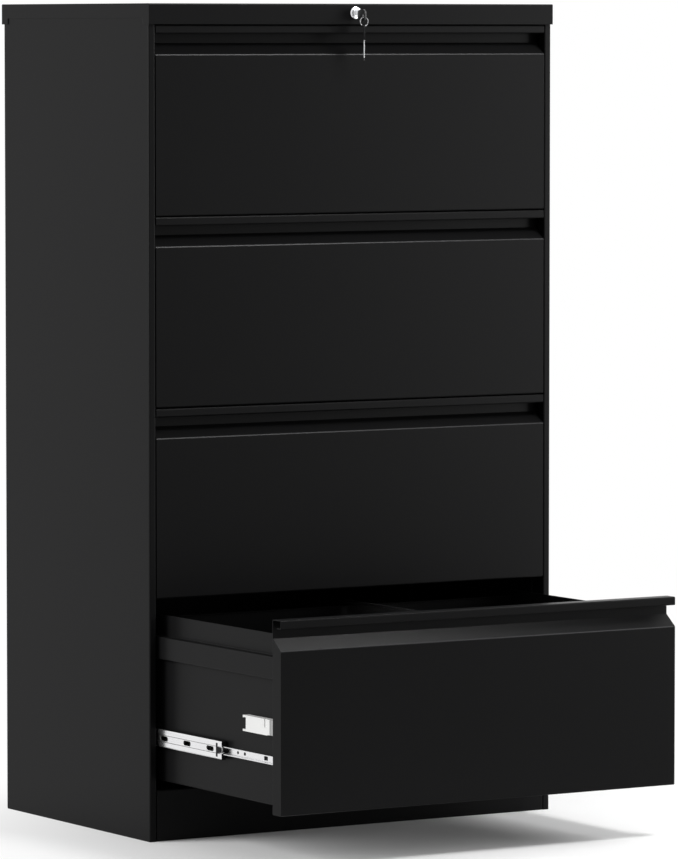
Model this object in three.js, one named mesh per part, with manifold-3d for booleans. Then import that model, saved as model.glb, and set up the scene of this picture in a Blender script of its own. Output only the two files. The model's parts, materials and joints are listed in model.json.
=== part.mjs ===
// Four-drawer lateral filing cabinet in folded sheet steel. Millimetres, +Z up.
// The pieces are laid out about the middle of the carcass, with z = 0 on the floor and the
// front plane at -bodyDepth / 2. The last group then moves the origin to the centre of the
// whole cabinet's footprint, bottom drawer standing open.
import * as THREE from 'three';
import { mergeVertices } from 'three/addons/utils/BufferGeometryUtils.js';
import Module from 'manifold-3d';

const wasm = await Module();
wasm.setup();

// Carcass
const bodyWidth = 760; // over the side panels
const bodyDepth = 480; // front plane to back panel
const plinthHeight = 83; // floor to the bottom drawer's zone
const drawerCount = 4;
const drawerPitch = 303.5; // one tier of hanging files
const sheet = 1; // body and drawer steel
const bend = 1; // inner radius of a fold
const seatGap = 0.3; // between pieces that rest on each other
const stileWidth = 12; // front flange of a side panel
const stileReturn = 15; // its fold back into the carcass
const rearFlange = 18; // rear flange of a side panel
const backHem = 12; // fold along the back panel's top and bottom

// Top cap
const capHeight = 33; // front and rear band
const capSideHeight = 23; // side rim between the corners
const capCorner = 20; // length of the deep rim at each corner
const capOverhang = 4; // beyond the front and back planes
const capReturn = 14; // fold under the front band
const capReturnGap = 1; // its ends to the stiles

// Base pan and levelling feet
const kickReturn = 15; // fold back along the floor
const kickSideGap = 1; // kick plate to the stiles
const panSideDrop = 50; // side flange of the pan
const rearApronRise = 15; // floor to the pan's rear flange
const footInset = 34; // stud centre from the side panel's and the frame's outer faces
const footRadius = 17;
const footPad = 6; // pad's height at its hub
const footEdge = 4; // and at its rim
const footHub = { radius: 8, height: 12 };
const studRadius = 4;
const studClearance = 0.4;
const studHeadroom = 1.5;
const bossWall = 2.5;
const bossHeight = 32;

// Slide uprights
const uprightFace = 30; // width of the hat section's face
const uprightFlange = 12;
const uprightInset = 50; // face centre from the front plane and from the back panel
const uprightStandOff = 0.5; // face behind the stile's edge
const uprightHeadroom = 1;
const hookSlot = { width: 4, height: 14, offset: 36 }; // offset: above and below a slide's centre

// Drawer front
const frontGap = 1.6; // between one front and the next
const frontSideGap = 1.2; // front to stile
const frontDepth = 25;
const lipHeight = 13.5;
const lipReturn = 12; // fold under the lip
const recessBottom = 29.5; // top edge to the foot of the recess's back wall
const slopeBottom = 47.5; // top edge to where the slope meets the face
const frontBottomRise = 15; // fold up behind the bottom flange
const frontEndFlange = 14;

// Drawer tray, heights from the front's bottom edge
const slideSpace = 12.7; // tray side to slide seat
const trayRearGap = 24.7; // tray's end to the back panel
const trayFloorRise = 12;
const railDrop = 24.5; // front's top edge to the hang rail's
const railHeight = 33.5;
const railInset = 4.5;
const bandHeight = 36;
const bandStandOut = 9.5;
const wallDrop = 10; // hang rail's top to the tray's end walls
const wallFlange = 9;

// Hang bar between the two columns of folders
const barGauge = 2;
const barHeight = 22;
const barOffset = 28; // right of the middle: a wide column left, a narrow one right

// Ball-bearing slides, three members a side
const slideEndGap = 2; // a slide member is this much shorter than the tray
const slideGauge = 1.2;
const slideBend = 1.2;
const slideRise = 82.9; // front's bottom edge to the slide's centre line
const slideSetBack = 1.7; // outer and middle members behind the inner one's end
const outerHeight = 37;
const outerLip = 2.5;
const middleHeight = 29;
const innerHeight = 13;
const memberGap = 0.4; // between the webs of the outer and middle members
const flangeGap = 1.1; // inner member's flange tip to the middle web
const outerReach = 3.2; // flange tips of the outer and middle members off the tray side
const cageLength = 38;
const cageWidth = 4.5;
// Inner member's holes: distance from its front end, or from its rear end where negative,
// then length, height and corner radius.
const innerHoles = [
  [37.6, 11.3, 6.4, 1],
  [101.6, 5, 4.4, 2],
  [122.6, 3.8, 3.4, 1.4],
  [160.2, 18, 9.2, 1],
  [-166, 9, 8, 1],
  [-44, 4.6, 4.6, 2],
];
const middleSlot = { length: 22.5, height: 7.6, corner: 3.2, first: 36.5, pitch: 72, count: 4 };
const middleRib = { height: 9.8, depth: 0.6 }; // pressed in along the web's middle

// Interlock block on the left of each tray
const blockLength = 91;
const blockHeight = 25;
const blockGap = 19.6; // slide to block
const blockThickness = 11.2;
const prongLength = 9;
const prongHeight = 3.2;
const prongHook = { length: 2.6, drop: 1, bevel: 0.5 };
const blockNose = { length: 10, depth: 0.7 }; // thinner front end
const blockGroove = { start: 18, length: 8, depth: 1.2, drop: 13 };
const blockRelief = { rise: 1, depth: 5.6 }; // along the underside, as far as the groove

// How far the open bottom drawer and its middle slide members stand out
const bottomDrawerOut = 382.4;
const bottomMiddleOut = 227;

// Cylinder lock, turning a cam behind the cap's band
const lockDrop = 14.5; // cap's top to the lock's axis
const lockRadius = 10;
const lockBezel = 3;
const bezelRound = { shoulder: 2, edge: 0.6, depth: 0.8 }; // its worn-looking domed rim
const barrelRadius = 8.4;
const barrelLength = 24;
const plugRadius = 6.4;
const plugClearance = 0.3;
const keywayWidth = 2.6;
const keywayHeight = 8.4;
const camReach = 8;
const camGauge = 2;
const camPinRadius = 2;
const camHalfWidth = 3.2;
const camRim = 1; // beyond the pin

// Lock linkage: a cross bar under the cap lifts an upright bar beside the drawers
const linkGauge = 2;
const linkPlay = 2.2; // fork slot beyond the cam pin on each side
const crossBarHeight = 10;
const forkWall = 5;
const forkEnd = 1; // fork slot beyond the pin's top and bottom places
const lockBarWidth = 11;
const lockArm = { rise: 3, height: 18, nose: 1 }; // above the drawers, before the cross bar
const rampRun = 14; // 45 degree wedge on the cross bar
const rampRise = 4; // its foot above the drawers
const rampBlunt = 1;
const rampSetBack = 1; // its tip behind the stile's edge
const wedgeRib = 10; // upright behind the wedge
const wedgeReach = 20; // and the bar's foot behind it
const followerTrim = 2;
const lockTab = { length: 5, height: 7, reach: 7.8 };
const tabClearance = 0.5;

// Key, with a folding head
const keyHead = { length: 23, width: 19, gauge: 2.6, corner: 7, hole: 3.4, rim: 1.6 };
const keyBlade = { length: 30, width: 7.6, gauge: 1.8, pitch: 3.7, tang: 1 };
const keyCuts = [1.1, 0.6, 1.5, 1, 0.6]; // depths, from the shoulder to the tip
const keyInsertion = 24;
const keyDroop = 4; // the head hangs this far below the blade

// Derived places
const frontPlane = -bodyDepth / 2;
const backPlane = bodyDepth / 2;
const stackTop = plinthHeight + drawerCount * drawerPitch;
const bodyHeight = stackTop + capHeight;
const half = sheet / 2;
const openingHalf = bodyWidth / 2 - stileWidth;
const wallInner = bodyWidth / 2 - sheet;
const panTop = plinthHeight - frontGap / 2;
const underCap = bodyHeight - sheet;
const frontHalf = openingHalf - frontSideGap;
const frontHeight = drawerPitch - frontGap;
const uprightX = openingHalf - uprightStandOff;
const trayHalf = uprightX - seatGap - slideSpace;
const trayFront = frontPlane + frontDepth + seatGap;
const trayBack = backPlane - trayRearGap;
const railTop = frontHeight - railDrop;
const bandTop = railTop - railHeight;
const bandBottom = bandTop - bandHeight;
const trayWallTop = railTop - wallDrop;
const slideLength = trayBack - trayFront - slideEndGap;
const slideFront = trayFront + slideSetBack;
const slideBack = slideFront + slideLength;
const blockCentre = slideRise + outerHeight / 2 + blockGap + blockHeight / 2;
const lockZ = bodyHeight - lockDrop;
const bandFace = frontPlane - capOverhang;
const bezelFace = bandFace - seatGap - lockBezel;
const barrelEnd = bandFace + barrelLength;
const camFront = barrelEnd + seatGap;
const linkFront = camFront + camGauge + seatGap;

// --- Helpers -------------------------------------------------------------------------------

function solidOf(geometry) {
  const bare = new THREE.BufferGeometry();
  bare.setAttribute('position', geometry.getAttribute('position'));
  bare.setIndex(geometry.getIndex());
  const welded = mergeVertices(bare, 1e-4);
  const vertProperties = new Float32Array(welded.getAttribute('position').array);
  const triVerts = new Uint32Array(welded.getIndex().array);
  return new wasm.Manifold(new wasm.Mesh({ numProp: 3, vertProperties, triVerts }));
}

function geometryOf(solid) {
  const { vertProperties, triVerts } = solid.getMesh();
  const geometry = new THREE.BufferGeometry();
  geometry.setAttribute('position', new THREE.BufferAttribute(vertProperties, 3));
  geometry.setIndex(new THREE.BufferAttribute(triVerts, 1));
  geometry.computeVertexNormals();
  return geometry;
}

const join = (...solids) => solids.reduce((whole, part) => whole.add(part));
const cut = (body, tools) => tools.reduce((rest, tool) => rest.subtract(tool), body);

const basisX = new THREE.Matrix4().set(0, 0, 1, 0, 1, 0, 0, 0, 0, 1, 0, 0, 0, 0, 0, 1);
const basisY = new THREE.Matrix4().set(1, 0, 0, 0, 0, 0, -1, 0, 0, 1, 0, 0, 0, 0, 0, 1);

function extruded(shape, length) {
  return new THREE.ExtrudeGeometry(shape, { depth: length, bevelEnabled: false, curveSegments: 6 });
}

// A section in (y, z) carried along X, one in (x, z) along Y, and one in (x, y) along Z.
function alongX(shape, x0, x1) {
  return solidOf(extruded(shape, x1 - x0).applyMatrix4(basisX).translate(x0, 0, 0));
}

function alongY(shape, y0, y1) {
  return solidOf(extruded(shape, y1 - y0).applyMatrix4(basisY).translate(0, y1, 0));
}

function alongZ(shape, z0, z1) {
  return solidOf(extruded(shape, z1 - z0).translate(0, 0, z0));
}

function box([x0, x1], [y0, y1], [z0, z1]) {
  const size = [Math.abs(x1 - x0), Math.abs(y1 - y0), Math.abs(z1 - z0)];
  const geometry = new THREE.BoxGeometry(...size);
  return solidOf(geometry.translate((x0 + x1) / 2, (y0 + y1) / 2, (z0 + z1) / 2));
}

function disc(radius, y0, y1, x, z, facets = 24) {
  const geometry = new THREE.CylinderGeometry(radius, radius, y1 - y0, facets);
  return solidOf(geometry.translate(0, (y0 + y1) / 2, 0).translate(x, 0, z));
}

function post(radius, z0, z1, x, y, facets = 16) {
  const geometry = new THREE.CylinderGeometry(radius, radius, z1 - z0, facets);
  return solidOf(geometry.rotateX(Math.PI / 2).translate(x, y, (z0 + z1) / 2));
}

const polygon = (points) => new THREE.Shape(points.map(([u, v]) => new THREE.Vector2(u, v)));

// Turns one corner of a path into an arc, and calls visit(point, left normal) along it.
function roundCorner(before, corner, after, radius, visit) {
  const along = corner.clone().sub(before).normalize();
  const onward = after.clone().sub(corner).normalize();
  const turn = Math.atan2(along.cross(onward), along.dot(onward));
  const normal = new THREE.Vector2(-along.y, along.x);
  const side = Math.sign(turn) * radius;
  const start = corner.clone().addScaledVector(along, -radius * Math.tan(Math.abs(turn) / 2));
  const centre = start.addScaledVector(normal, side);
  const step = radius < 3 ? Math.PI / 4 : Math.PI / 8;
  const steps = Math.max(1, Math.round(Math.abs(turn) / step));
  for (let k = 0; k <= steps; k += 1) {
    const across = normal.clone().rotateAround(new THREE.Vector2(), (turn * k) / steps);
    visit(centre.clone().addScaledVector(across, -side), across);
  }
}

// Section of a sheet folded along its middle line, with rounded bends.
function foldedSheet(path, gauge = sheet, innerRadius = bend) {
  const points = path.map(([u, v]) => new THREE.Vector2(u, v));
  const left = [];
  const right = [];
  const visit = (point, across) => {
    left.push(point.clone().addScaledVector(across, gauge / 2));
    right.push(point.clone().addScaledVector(across, -gauge / 2));
  };
  const square = (from, to) => {
    const along = to.clone().sub(from).normalize();
    return new THREE.Vector2(-along.y, along.x);
  };
  visit(points[0], square(points[0], points[1]));
  for (let i = 1; i < points.length - 1; i += 1) {
    roundCorner(points[i - 1], points[i], points[i + 1], innerRadius + gauge / 2, visit);
  }
  const last = points.length - 1;
  visit(points[last], square(points[last - 1], points[last]));
  return new THREE.Shape([...left, ...right.reverse()]);
}

// Closed outline with rounded corners; a corner whose third value is false stays sharp.
function roundedOutline(path, radius) {
  const points = path.map(([u, v]) => new THREE.Vector2(u, v));
  const outline = [];
  points.forEach((corner, i) => {
    const before = points[(i + points.length - 1) % points.length];
    const after = points[(i + 1) % points.length];
    if (path[i][2] === false) outline.push(corner);
    else roundCorner(before, corner, after, radius, (point) => outline.push(point));
  });
  return new THREE.Shape(outline);
}

function roundedRectangle(u0, u1, v0, v1, radius) {
  return roundedOutline([[u0, v0], [u1, v0], [u1, v1], [u0, v1]], radius);
}

const paint = { color: 0x1c1c1d, roughness: 0.55, metalness: 0.1 };
const zinc = { color: 0xcfd2d4, roughness: 0.3, metalness: 0.9 };
const chrome = { color: 0xe0e1e2, roughness: 0.15, metalness: 1 };
const blackPlastic = { color: 0x141414, roughness: 0.5, metalness: 0 };
const whitePlastic = { color: 0xf1f1ef, roughness: 0.45, metalness: 0 };

function piece(name, geometry, finish) {
  const mesh = new THREE.Mesh(geometry, new THREE.MeshStandardMaterial(finish));
  mesh.name = name;
  return mesh;
}

// --- Carcass -------------------------------------------------------------------------------

// Side panel: front stile with its return, flat side, rear flange.
function sidePanel(side) {
  const stileX = side * (openingHalf + half);
  const outerX = side * (bodyWidth / 2 - half);
  const rearY = backPlane - sheet - seatGap - half;
  const path = [
    [stileX, frontPlane + stileReturn],
    [stileX, frontPlane + half],
    [outerX, frontPlane + half],
    [outerX, rearY],
    [side * (bodyWidth / 2 - rearFlange), rearY],
  ];
  return alongZ(foldedSheet(path), 0, underCap - seatGap);
}

// Back panel: lies over the side panels' rear flanges, hemmed between them.
function backPanel() {
  const reach = wallInner - seatGap;
  const hemReach = bodyWidth / 2 - rearFlange - sheet;
  const foot = seatGap;
  const head = underCap - seatGap;
  const hem = [
    [backPlane - backHem, foot + half],
    [backPlane - half, foot + half],
    [backPlane - half, head - half],
    [backPlane - backHem, head - half],
  ];
  const edge = bend + sheet;
  return join(
    box([-reach, reach], [backPlane - sheet, backPlane], [foot + edge, head - edge]),
    alongX(foldedSheet(hem), -hemReach, hemReach),
  );
}

// Top cap: a shallow pan upside down. Its side rims deepen to full height at the corners, and
// a return is folded under the front band between the stiles.
function topCap() {
  const capHalf = bodyWidth / 2 + seatGap + sheet;
  const rear = backPlane + capOverhang;
  const shallow = bodyHeight - capSideHeight;
  const below = stackTop - sheet;
  const block = roundedOutline([
    [bandFace, stackTop, false],
    [rear, stackTop, false],
    [rear, bodyHeight],
    [bandFace, bodyHeight],
  ], bend + sheet);
  const insideX = [-capHalf + sheet, capHalf - sheet];
  const returnHalf = openingHalf - capReturnGap;
  const hollow = [
    box(insideX, [bandFace + sheet, rear - sheet], [stackTop + sheet, underCap]),
    box(insideX, [bandFace + capReturn, rear - sheet], [below, stackTop + 2 * sheet]),
  ];
  const notches = [-1, 1].flatMap((side) => [
    box([side * returnHalf, side * insideX[1]],
      [bandFace + sheet, bandFace + capReturn + sheet], [below, stackTop + 2 * sheet]),
    box([side * (capHalf - 2 * sheet), side * (capHalf + sheet)],
      [bandFace + capCorner, rear - capCorner], [below, shallow]),
  ]);
  const lockHole = disc(barrelRadius + seatGap, bandFace - sheet, bandFace + 2 * sheet, 0, lockZ);
  return cut(alongX(block, -capHalf, capHalf), [...hollow, ...notches, lockHole]);
}

// Base pan: kick plate, cabinet floor, flanges at the sides and rear, bosses for the feet.
function footPlaces() {
  const x = bodyWidth / 2 - footInset;
  const y = bodyDepth / 2 - footInset;
  return [['front_left', -x, -y], ['front_right', x, -y], ['rear_left', -x, y], ['rear_right', x, y]];
}

function basePan() {
  const kickHalf = openingHalf - kickSideGap;
  const sideX = wallInner - seatGap - half;
  const floorZ = panTop - half;
  const rearY = backPlane - 2 * (sheet + seatGap) - half;
  const kick = [
    [frontPlane + kickReturn, half],
    [frontPlane + half, half],
    [frontPlane + half, floorZ],
    [rearY, floorZ],
    [rearY, rearApronRise],
  ];
  const sides = [
    [-sideX, panTop - panSideDrop],
    [-sideX, floorZ],
    [sideX, floorZ],
    [sideX, panTop - panSideDrop],
  ];
  const bosses = footPlaces().map(([, x, y]) => (
    post(studRadius + studClearance + bossWall, panTop - bossHeight, floorZ, x, y)
  ));
  const bores = footPlaces().map(([, x, y]) => (
    post(studRadius + studClearance, -sheet, panTop - sheet, x, y)
  ));
  const shell = join(
    alongX(foldedSheet(kick), -kickHalf, kickHalf),
    alongY(foldedSheet(sides), frontPlane + stileReturn + seatGap, rearY),
    ...bosses,
  );
  return cut(shell, bores);
}

// Levelling foot: round pad with a raised hub on a plain stud.
function levellingFoot() {
  const studTop = panTop - sheet - studHeadroom;
  const profile = [
    [0, 0],
    [footRadius, 0],
    [footRadius, footEdge],
    [footHub.radius, footPad],
    [footHub.radius, footHub.height],
    [studRadius, footHub.height],
    [studRadius, studTop],
    [0, studTop],
  ];
  const points = profile.map(([r, z]) => new THREE.Vector2(r, z));
  return new THREE.LatheGeometry(points, 14).rotateX(Math.PI / 2);
}

// Hat-section upright that carries the slides, with pairs of hook slots at each drawer.
function slideUpright(side, y) {
  const wallX = side * (wallInner - seatGap - half);
  const faceX = side * (uprightX + half);
  const edge = uprightFace / 2;
  const path = [
    [wallX, y - edge - uprightFlange],
    [wallX, y - edge],
    [faceX, y - edge],
    [faceX, y + edge],
    [wallX, y + edge],
    [wallX, y + edge + uprightFlange],
  ];
  const slots = [];
  for (let tier = 0; tier < drawerCount; tier += 1) {
    for (const offset of [-hookSlot.offset, hookSlot.offset]) {
      const z = drawerBase(tier) + slideRise + offset;
      const width = [y - hookSlot.width / 2, y + hookSlot.width / 2];
      const height = [z - hookSlot.height / 2, z + hookSlot.height / 2];
      slots.push(box([faceX - sheet, faceX + sheet], width, height));
    }
  }
  return cut(alongZ(foldedSheet(path), panTop + seatGap, stackTop - uprightHeadroom), slots);
}

// --- Drawers, modelled closed, with z = 0 at the front's bottom edge -----------------------

// Height of a drawer's bottom edge; tier 0 is the top drawer.
function drawerBase(tier) {
  return plinthHeight + (drawerCount - 1 - tier) * drawerPitch + frontGap / 2;
}

// Drawer front: one sheet folded into a full-width pull lip, a recess, a slope and the face,
// closed by end plates below the recess; the lip's fold is open at both ends.
function drawerFront() {
  const face = frontPlane + half;
  const rear = frontPlane + frontDepth - half;
  const top = frontHeight - half;
  const path = [
    [frontPlane + lipReturn, frontHeight - lipHeight + half],
    [face, frontHeight - lipHeight + half],
    [face, top],
    [rear, top],
    [rear, frontHeight - recessBottom],
    [face, frontHeight - slopeBottom],
    [face, half],
    [rear, half],
    [rear, frontBottomRise],
  ];
  const pan = polygon([
    [face, half + bend],
    [face + bend, half],
    [rear, half],
    [rear, frontHeight - recessBottom],
    [face, frontHeight - slopeBottom],
  ]);
  const shell = [alongX(foldedSheet(path), -frontHalf, frontHalf)];
  for (const side of [-1, 1]) {
    const ends = [side * frontHalf, side * (frontHalf - sheet)].sort((a, b) => a - b);
    const flange = [side * (frontHalf - half), side * (frontHalf - frontEndFlange)];
    shell.push(alongX(pan, ...ends));
    shell.push(box(flange, [rear - half, rear + half], [half, frontHeight - recessBottom]));
  }
  return join(...shell);
}

// Tray: sides rise from the floor to an outward band and an inset hang rail; flanged end walls.
function drawerTray() {
  const wallX = trayHalf - half;
  const bandX = wallX + bandStandOut;
  const railX = trayHalf - railInset + half;
  const floorZ = trayFloorRise + half;
  const rightSide = [
    [wallX, floorZ],
    [wallX, bandBottom + half],
    [bandX, bandBottom + half],
    [bandX, bandTop - half],
    [railX, bandTop - half],
    [railX, railTop],
  ];
  const leftSide = rightSide.map(([x, z]) => [-x, z]).reverse();
  const endWall = polygon([
    [-wallX, floorZ],
    [wallX, floorZ],
    [wallX, bandBottom + half],
    [railX, bandBottom + half],
    [railX, trayWallTop],
    [-railX, trayWallTop],
    [-railX, bandBottom + half],
    [-wallX, bandBottom + half],
  ]);
  const flangeZ = [trayWallTop - sheet, trayWallTop];
  return join(
    alongY(foldedSheet([...leftSide, ...rightSide]), trayFront, trayBack),
    alongY(endWall, trayFront, trayFront + sheet),
    alongY(endWall, trayBack - sheet, trayBack),
    box([-railX, railX], [trayFront + half, trayFront + wallFlange], flangeZ),
    box([-railX, railX], [trayBack - wallFlange, trayBack - half], flangeZ),
  );
}

// Hang bar: a flat bar on edge whose ends lie on the tray's end flanges.
function hangBar() {
  const seat = trayWallTop + seatGap;
  const under = railTop - barHeight;
  const clear = wallFlange + seatGap;
  const shape = polygon([
    [trayFront, seat],
    [trayFront + clear, seat],
    [trayFront + clear, under],
    [trayBack - clear, under],
    [trayBack - clear, seat],
    [trayBack, seat],
    [trayBack, railTop],
    [trayFront, railTop],
  ]);
  return alongX(shape, barOffset - barGauge / 2, barOffset + barGauge / 2);
}

// Interlock block: moulded slab with a two-pronged catch at its rear end, its outer face
// stepped back at the nose, grooved across and relieved along the lower front edge.
function interlockBlock() {
  const inner = -(trayHalf + seatGap);
  const outer = inner - blockThickness;
  const low = blockCentre - blockHeight / 2;
  const high = blockCentre + blockHeight / 2;
  const front = trayFront;
  const back = trayFront + blockLength;
  const throat = back - prongLength;
  const hookFoot = high - prongHeight - prongHook.drop;
  const slab = polygon([
    [front, low],
    [back, low],
    [back, low + prongHeight],
    [throat, low + prongHeight],
    [throat, high - prongHeight],
    [back - prongHook.length, high - prongHeight],
    [back - prongHook.length, hookFoot],
    [back, hookFoot + prongHook.bevel],
    [back, high],
    [front, high],
  ]);
  const clear = blockThickness; // how far a cutter reaches past the slab
  const groove = front + blockGroove.start;
  return cut(alongX(slab, outer, inner), [
    box([outer - clear, outer + blockNose.depth], [front - clear, front + blockNose.length],
      [low - clear, high + clear]),
    box([outer - clear, outer + blockGroove.depth], [groove, groove + blockGroove.length],
      [high - blockGroove.drop, high + clear]),
    box([outer - clear, outer + blockRelief.depth], [front - clear, groove],
      [low - clear, low + blockRelief.rise]),
  ]);
}

// --- Slides: sections in (x, z) about the slide's centre line, outward from the tray side ---

function slideSection(side, tip, web, height, lip = 0) {
  const rise = (height - slideGauge) / 2;
  const flange = [[tip, rise], [web, rise], [web, -rise], [tip, -rise]];
  const path = lip > 0 ? [[tip, rise - lip], ...flange, [tip, -rise + lip]] : flange;
  const placed = path.map(([u, v]) => [side * (trayHalf + u), v + slideRise]);
  return foldedSheet(placed, slideGauge, slideBend / 2);
}

const outerWeb = slideSpace - slideGauge / 2;
const middleWeb = outerWeb - slideGauge - memberGap;
const innerWeb = seatGap + slideGauge / 2;

function slotThroughWeb(side, web, y, length, height, corner) {
  const shape = roundedRectangle(
    y - length / 2, y + length / 2, slideRise - height / 2, slideRise + height / 2, corner,
  );
  const x = side * (trayHalf + web);
  return alongX(shape, x - 2 * slideGauge, x + 2 * slideGauge);
}

function outerMember(side) {
  const section = slideSection(side, outerReach, outerWeb, outerHeight, outerLip);
  return alongY(section, slideFront, slideBack);
}

// Middle member, with the ball cages it carries: inside its front end, outside its rear end.
function middleMember(side) {
  const section = slideSection(side, outerReach, middleWeb, middleHeight);
  const innerRace = middleHeight / 2 - slideGauge;
  const outerRace = outerHeight / 2 - slideGauge;
  const cageCentre = (outerReach + middleWeb) / 2;
  const u = [cageCentre - cageWidth / 2, cageCentre + cageWidth / 2];
  const x = u.map((reach) => side * (trayHalf + reach));
  const cages = [];
  for (const up of [-1, 1]) {
    const inside = [innerHeight / 2 + seatGap, innerRace + half].map((v) => slideRise + up * v);
    const outside = [innerRace + half, outerRace - seatGap].map((v) => slideRise + up * v);
    cages.push(box(x, [slideFront + seatGap, slideFront + cageLength], inside));
    cages.push(box(x, [slideBack - cageLength, slideBack - seatGap], outside));
  }
  const slots = [];
  for (let k = 0; k < middleSlot.count; k += 1) {
    const y = slideFront + middleSlot.first + k * middleSlot.pitch;
    const { length, height, corner } = middleSlot;
    slots.push(slotThroughWeb(side, middleWeb, y, length, height, corner));
  }
  const acrossWeb = (from, to) => [side * (trayHalf + from), side * (trayHalf + to)];
  const ribZ = [slideRise - middleRib.height / 2, slideRise + middleRib.height / 2];
  const webIn = middleWeb - slideGauge / 2;
  const webOut = middleWeb + slideGauge / 2;
  const rib = box(acrossWeb(webIn - middleRib.depth, middleWeb), [slideFront, slideBack], ribZ);
  const groove = box(
    acrossWeb(webOut - middleRib.depth, webOut + slideGauge),
    [slideFront - slideGauge, slideBack + slideGauge],
    ribZ,
  );
  return cut(join(alongY(section, slideFront, slideBack), rib, ...cages), [groove, ...slots]);
}

// Inner member, screwed to the tray side: holes for its hooks, screws and release lever.
function innerMember(side) {
  const section = slideSection(side, middleWeb - slideGauge / 2 - flangeGap, innerWeb, innerHeight);
  const rear = trayFront + slideLength;
  const tools = innerHoles.map(([along, length, height, corner]) => {
    const y = along > 0 ? trayFront + along : rear + along;
    return slotThroughWeb(side, innerWeb, y, length, height, corner);
  });
  return cut(alongY(section, trayFront, rear), tools);
}

// --- Lock and its linkage ------------------------------------------------------------------

// Housing: domed bezel outside the cap's band and a barrel through it, bored for the plug.
function lockHousing() {
  const profile = [
    [plugRadius + plugClearance, 0],
    [lockRadius - bezelRound.shoulder, 0],
    [lockRadius - bezelRound.edge, bezelRound.depth],
    [lockRadius, lockBezel - bezelRound.depth],
    [lockRadius, lockBezel],
    [barrelRadius, lockBezel],
    [barrelRadius, barrelEnd - bezelFace],
    [plugRadius + plugClearance, barrelEnd - bezelFace],
    [plugRadius + plugClearance, 0],
  ];
  const points = profile.map(([r, y]) => new THREE.Vector2(r, y));
  return new THREE.LatheGeometry(points, 24).translate(0, bezelFace, 0).translate(0, 0, lockZ);
}

// Plug: keyway cut from the front, cam and its pin behind the barrel.
function lockPlug() {
  const front = bezelFace - plugClearance;
  const camFoot = lockZ - camReach - camPinRadius - camRim;
  const cam = roundedRectangle(
    -camHalfWidth, camHalfWidth, camFoot, lockZ + plugRadius, camHalfWidth - camRim,
  );
  const pinEnd = linkFront + linkGauge + camPinRadius;
  const body = join(
    disc(plugRadius, front, camFront + half, 0, lockZ),
    alongY(cam, camFront, camFront + camGauge),
    disc(camPinRadius, camFront + half, pinEnd, 0, lockZ - camReach, 12),
  );
  const keyway = box(
    [-keywayWidth / 2, keywayWidth / 2],
    [front - sheet, front + keyInsertion + 2 * sheet],
    [lockZ - keywayHeight / 2, lockZ + keywayHeight / 2],
  );
  return cut(body, [keyway]);
}

const lockBarX = -(wallInner - seatGap - linkGauge); // inner face of the upright bar
const rampTip = -(openingHalf + rampSetBack);
const rampHeel = rampTip + rampRun;
const rampFoot = stackTop + rampRise;

// Cross bar: forked over the cam pin, wedge-ended beside the stile.
function lockCrossBar() {
  const top = underCap - seatGap;
  const low = top - crossBarHeight;
  const slotHalf = camPinRadius + linkPlay;
  const forkHalf = slotHalf + forkWall;
  const forkFoot = lockZ - camReach - camPinRadius - forkEnd;
  const slotTop = lockZ + camPinRadius + forkEnd;
  const shape = polygon([
    [forkHalf, top],
    [rampHeel + wedgeRib, top],
    [rampHeel + wedgeRib, rampFoot + rampRun],
    [rampHeel, rampFoot + rampRun],
    [rampTip, rampFoot],
    [rampTip, rampFoot - rampBlunt],
    [rampHeel + wedgeReach, rampFoot - rampBlunt],
    [rampHeel + wedgeReach, low],
    [-forkHalf, low],
    [-forkHalf, forkFoot],
    [-slotHalf, forkFoot],
    [-slotHalf, slotTop],
    [slotHalf, slotTop],
    [slotHalf, forkFoot],
    [forkHalf, forkFoot],
  ]);
  return alongY(shape, linkFront, linkFront + linkGauge);
}

// Upright lock bar: strip against the side panel, arm under the cap with a sloped follower,
// and one tab that stands in the throat of each drawer's interlock block.
function lockBar() {
  const outer = lockBarX - linkGauge;
  const throat = trayFront + blockLength - prongLength;
  const strip = [throat + tabClearance, throat + tabClearance + lockBarWidth];
  const armZ = [stackTop + lockArm.rise, stackTop + lockArm.rise + lockArm.height];
  const armFront = linkFront - lockArm.nose;
  const seat = rampFoot + seatGap * Math.SQRT2;
  const run = rampRun - followerTrim;
  const follower = polygon([
    [lockBarX - half, seat],
    [rampTip, seat],
    [rampTip + run, seat + run],
    [rampTip + run, armZ[1]],
    [lockBarX - half, armZ[1]],
  ]);
  const solids = [
    box([outer, lockBarX], strip, [panTop + seatGap, armZ[1]]),
    box([outer, lockBarX], [armFront, strip[1]], armZ),
    alongY(follower, armFront, armFront + 2 * linkGauge),
  ];
  for (let tier = 0; tier < drawerCount; tier += 1) {
    const low = drawerBase(tier) + blockCentre - blockHeight / 2 + prongHeight + tabClearance;
    const tip = -(trayHalf + seatGap + blockThickness - lockTab.reach);
    const y = [strip[0], strip[0] + lockTab.length];
    solids.push(box([lockBarX - half, tip], y, [low, low + lockTab.height]));
  }
  return join(...solids);
}

// --- Key -----------------------------------------------------------------------------------

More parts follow.
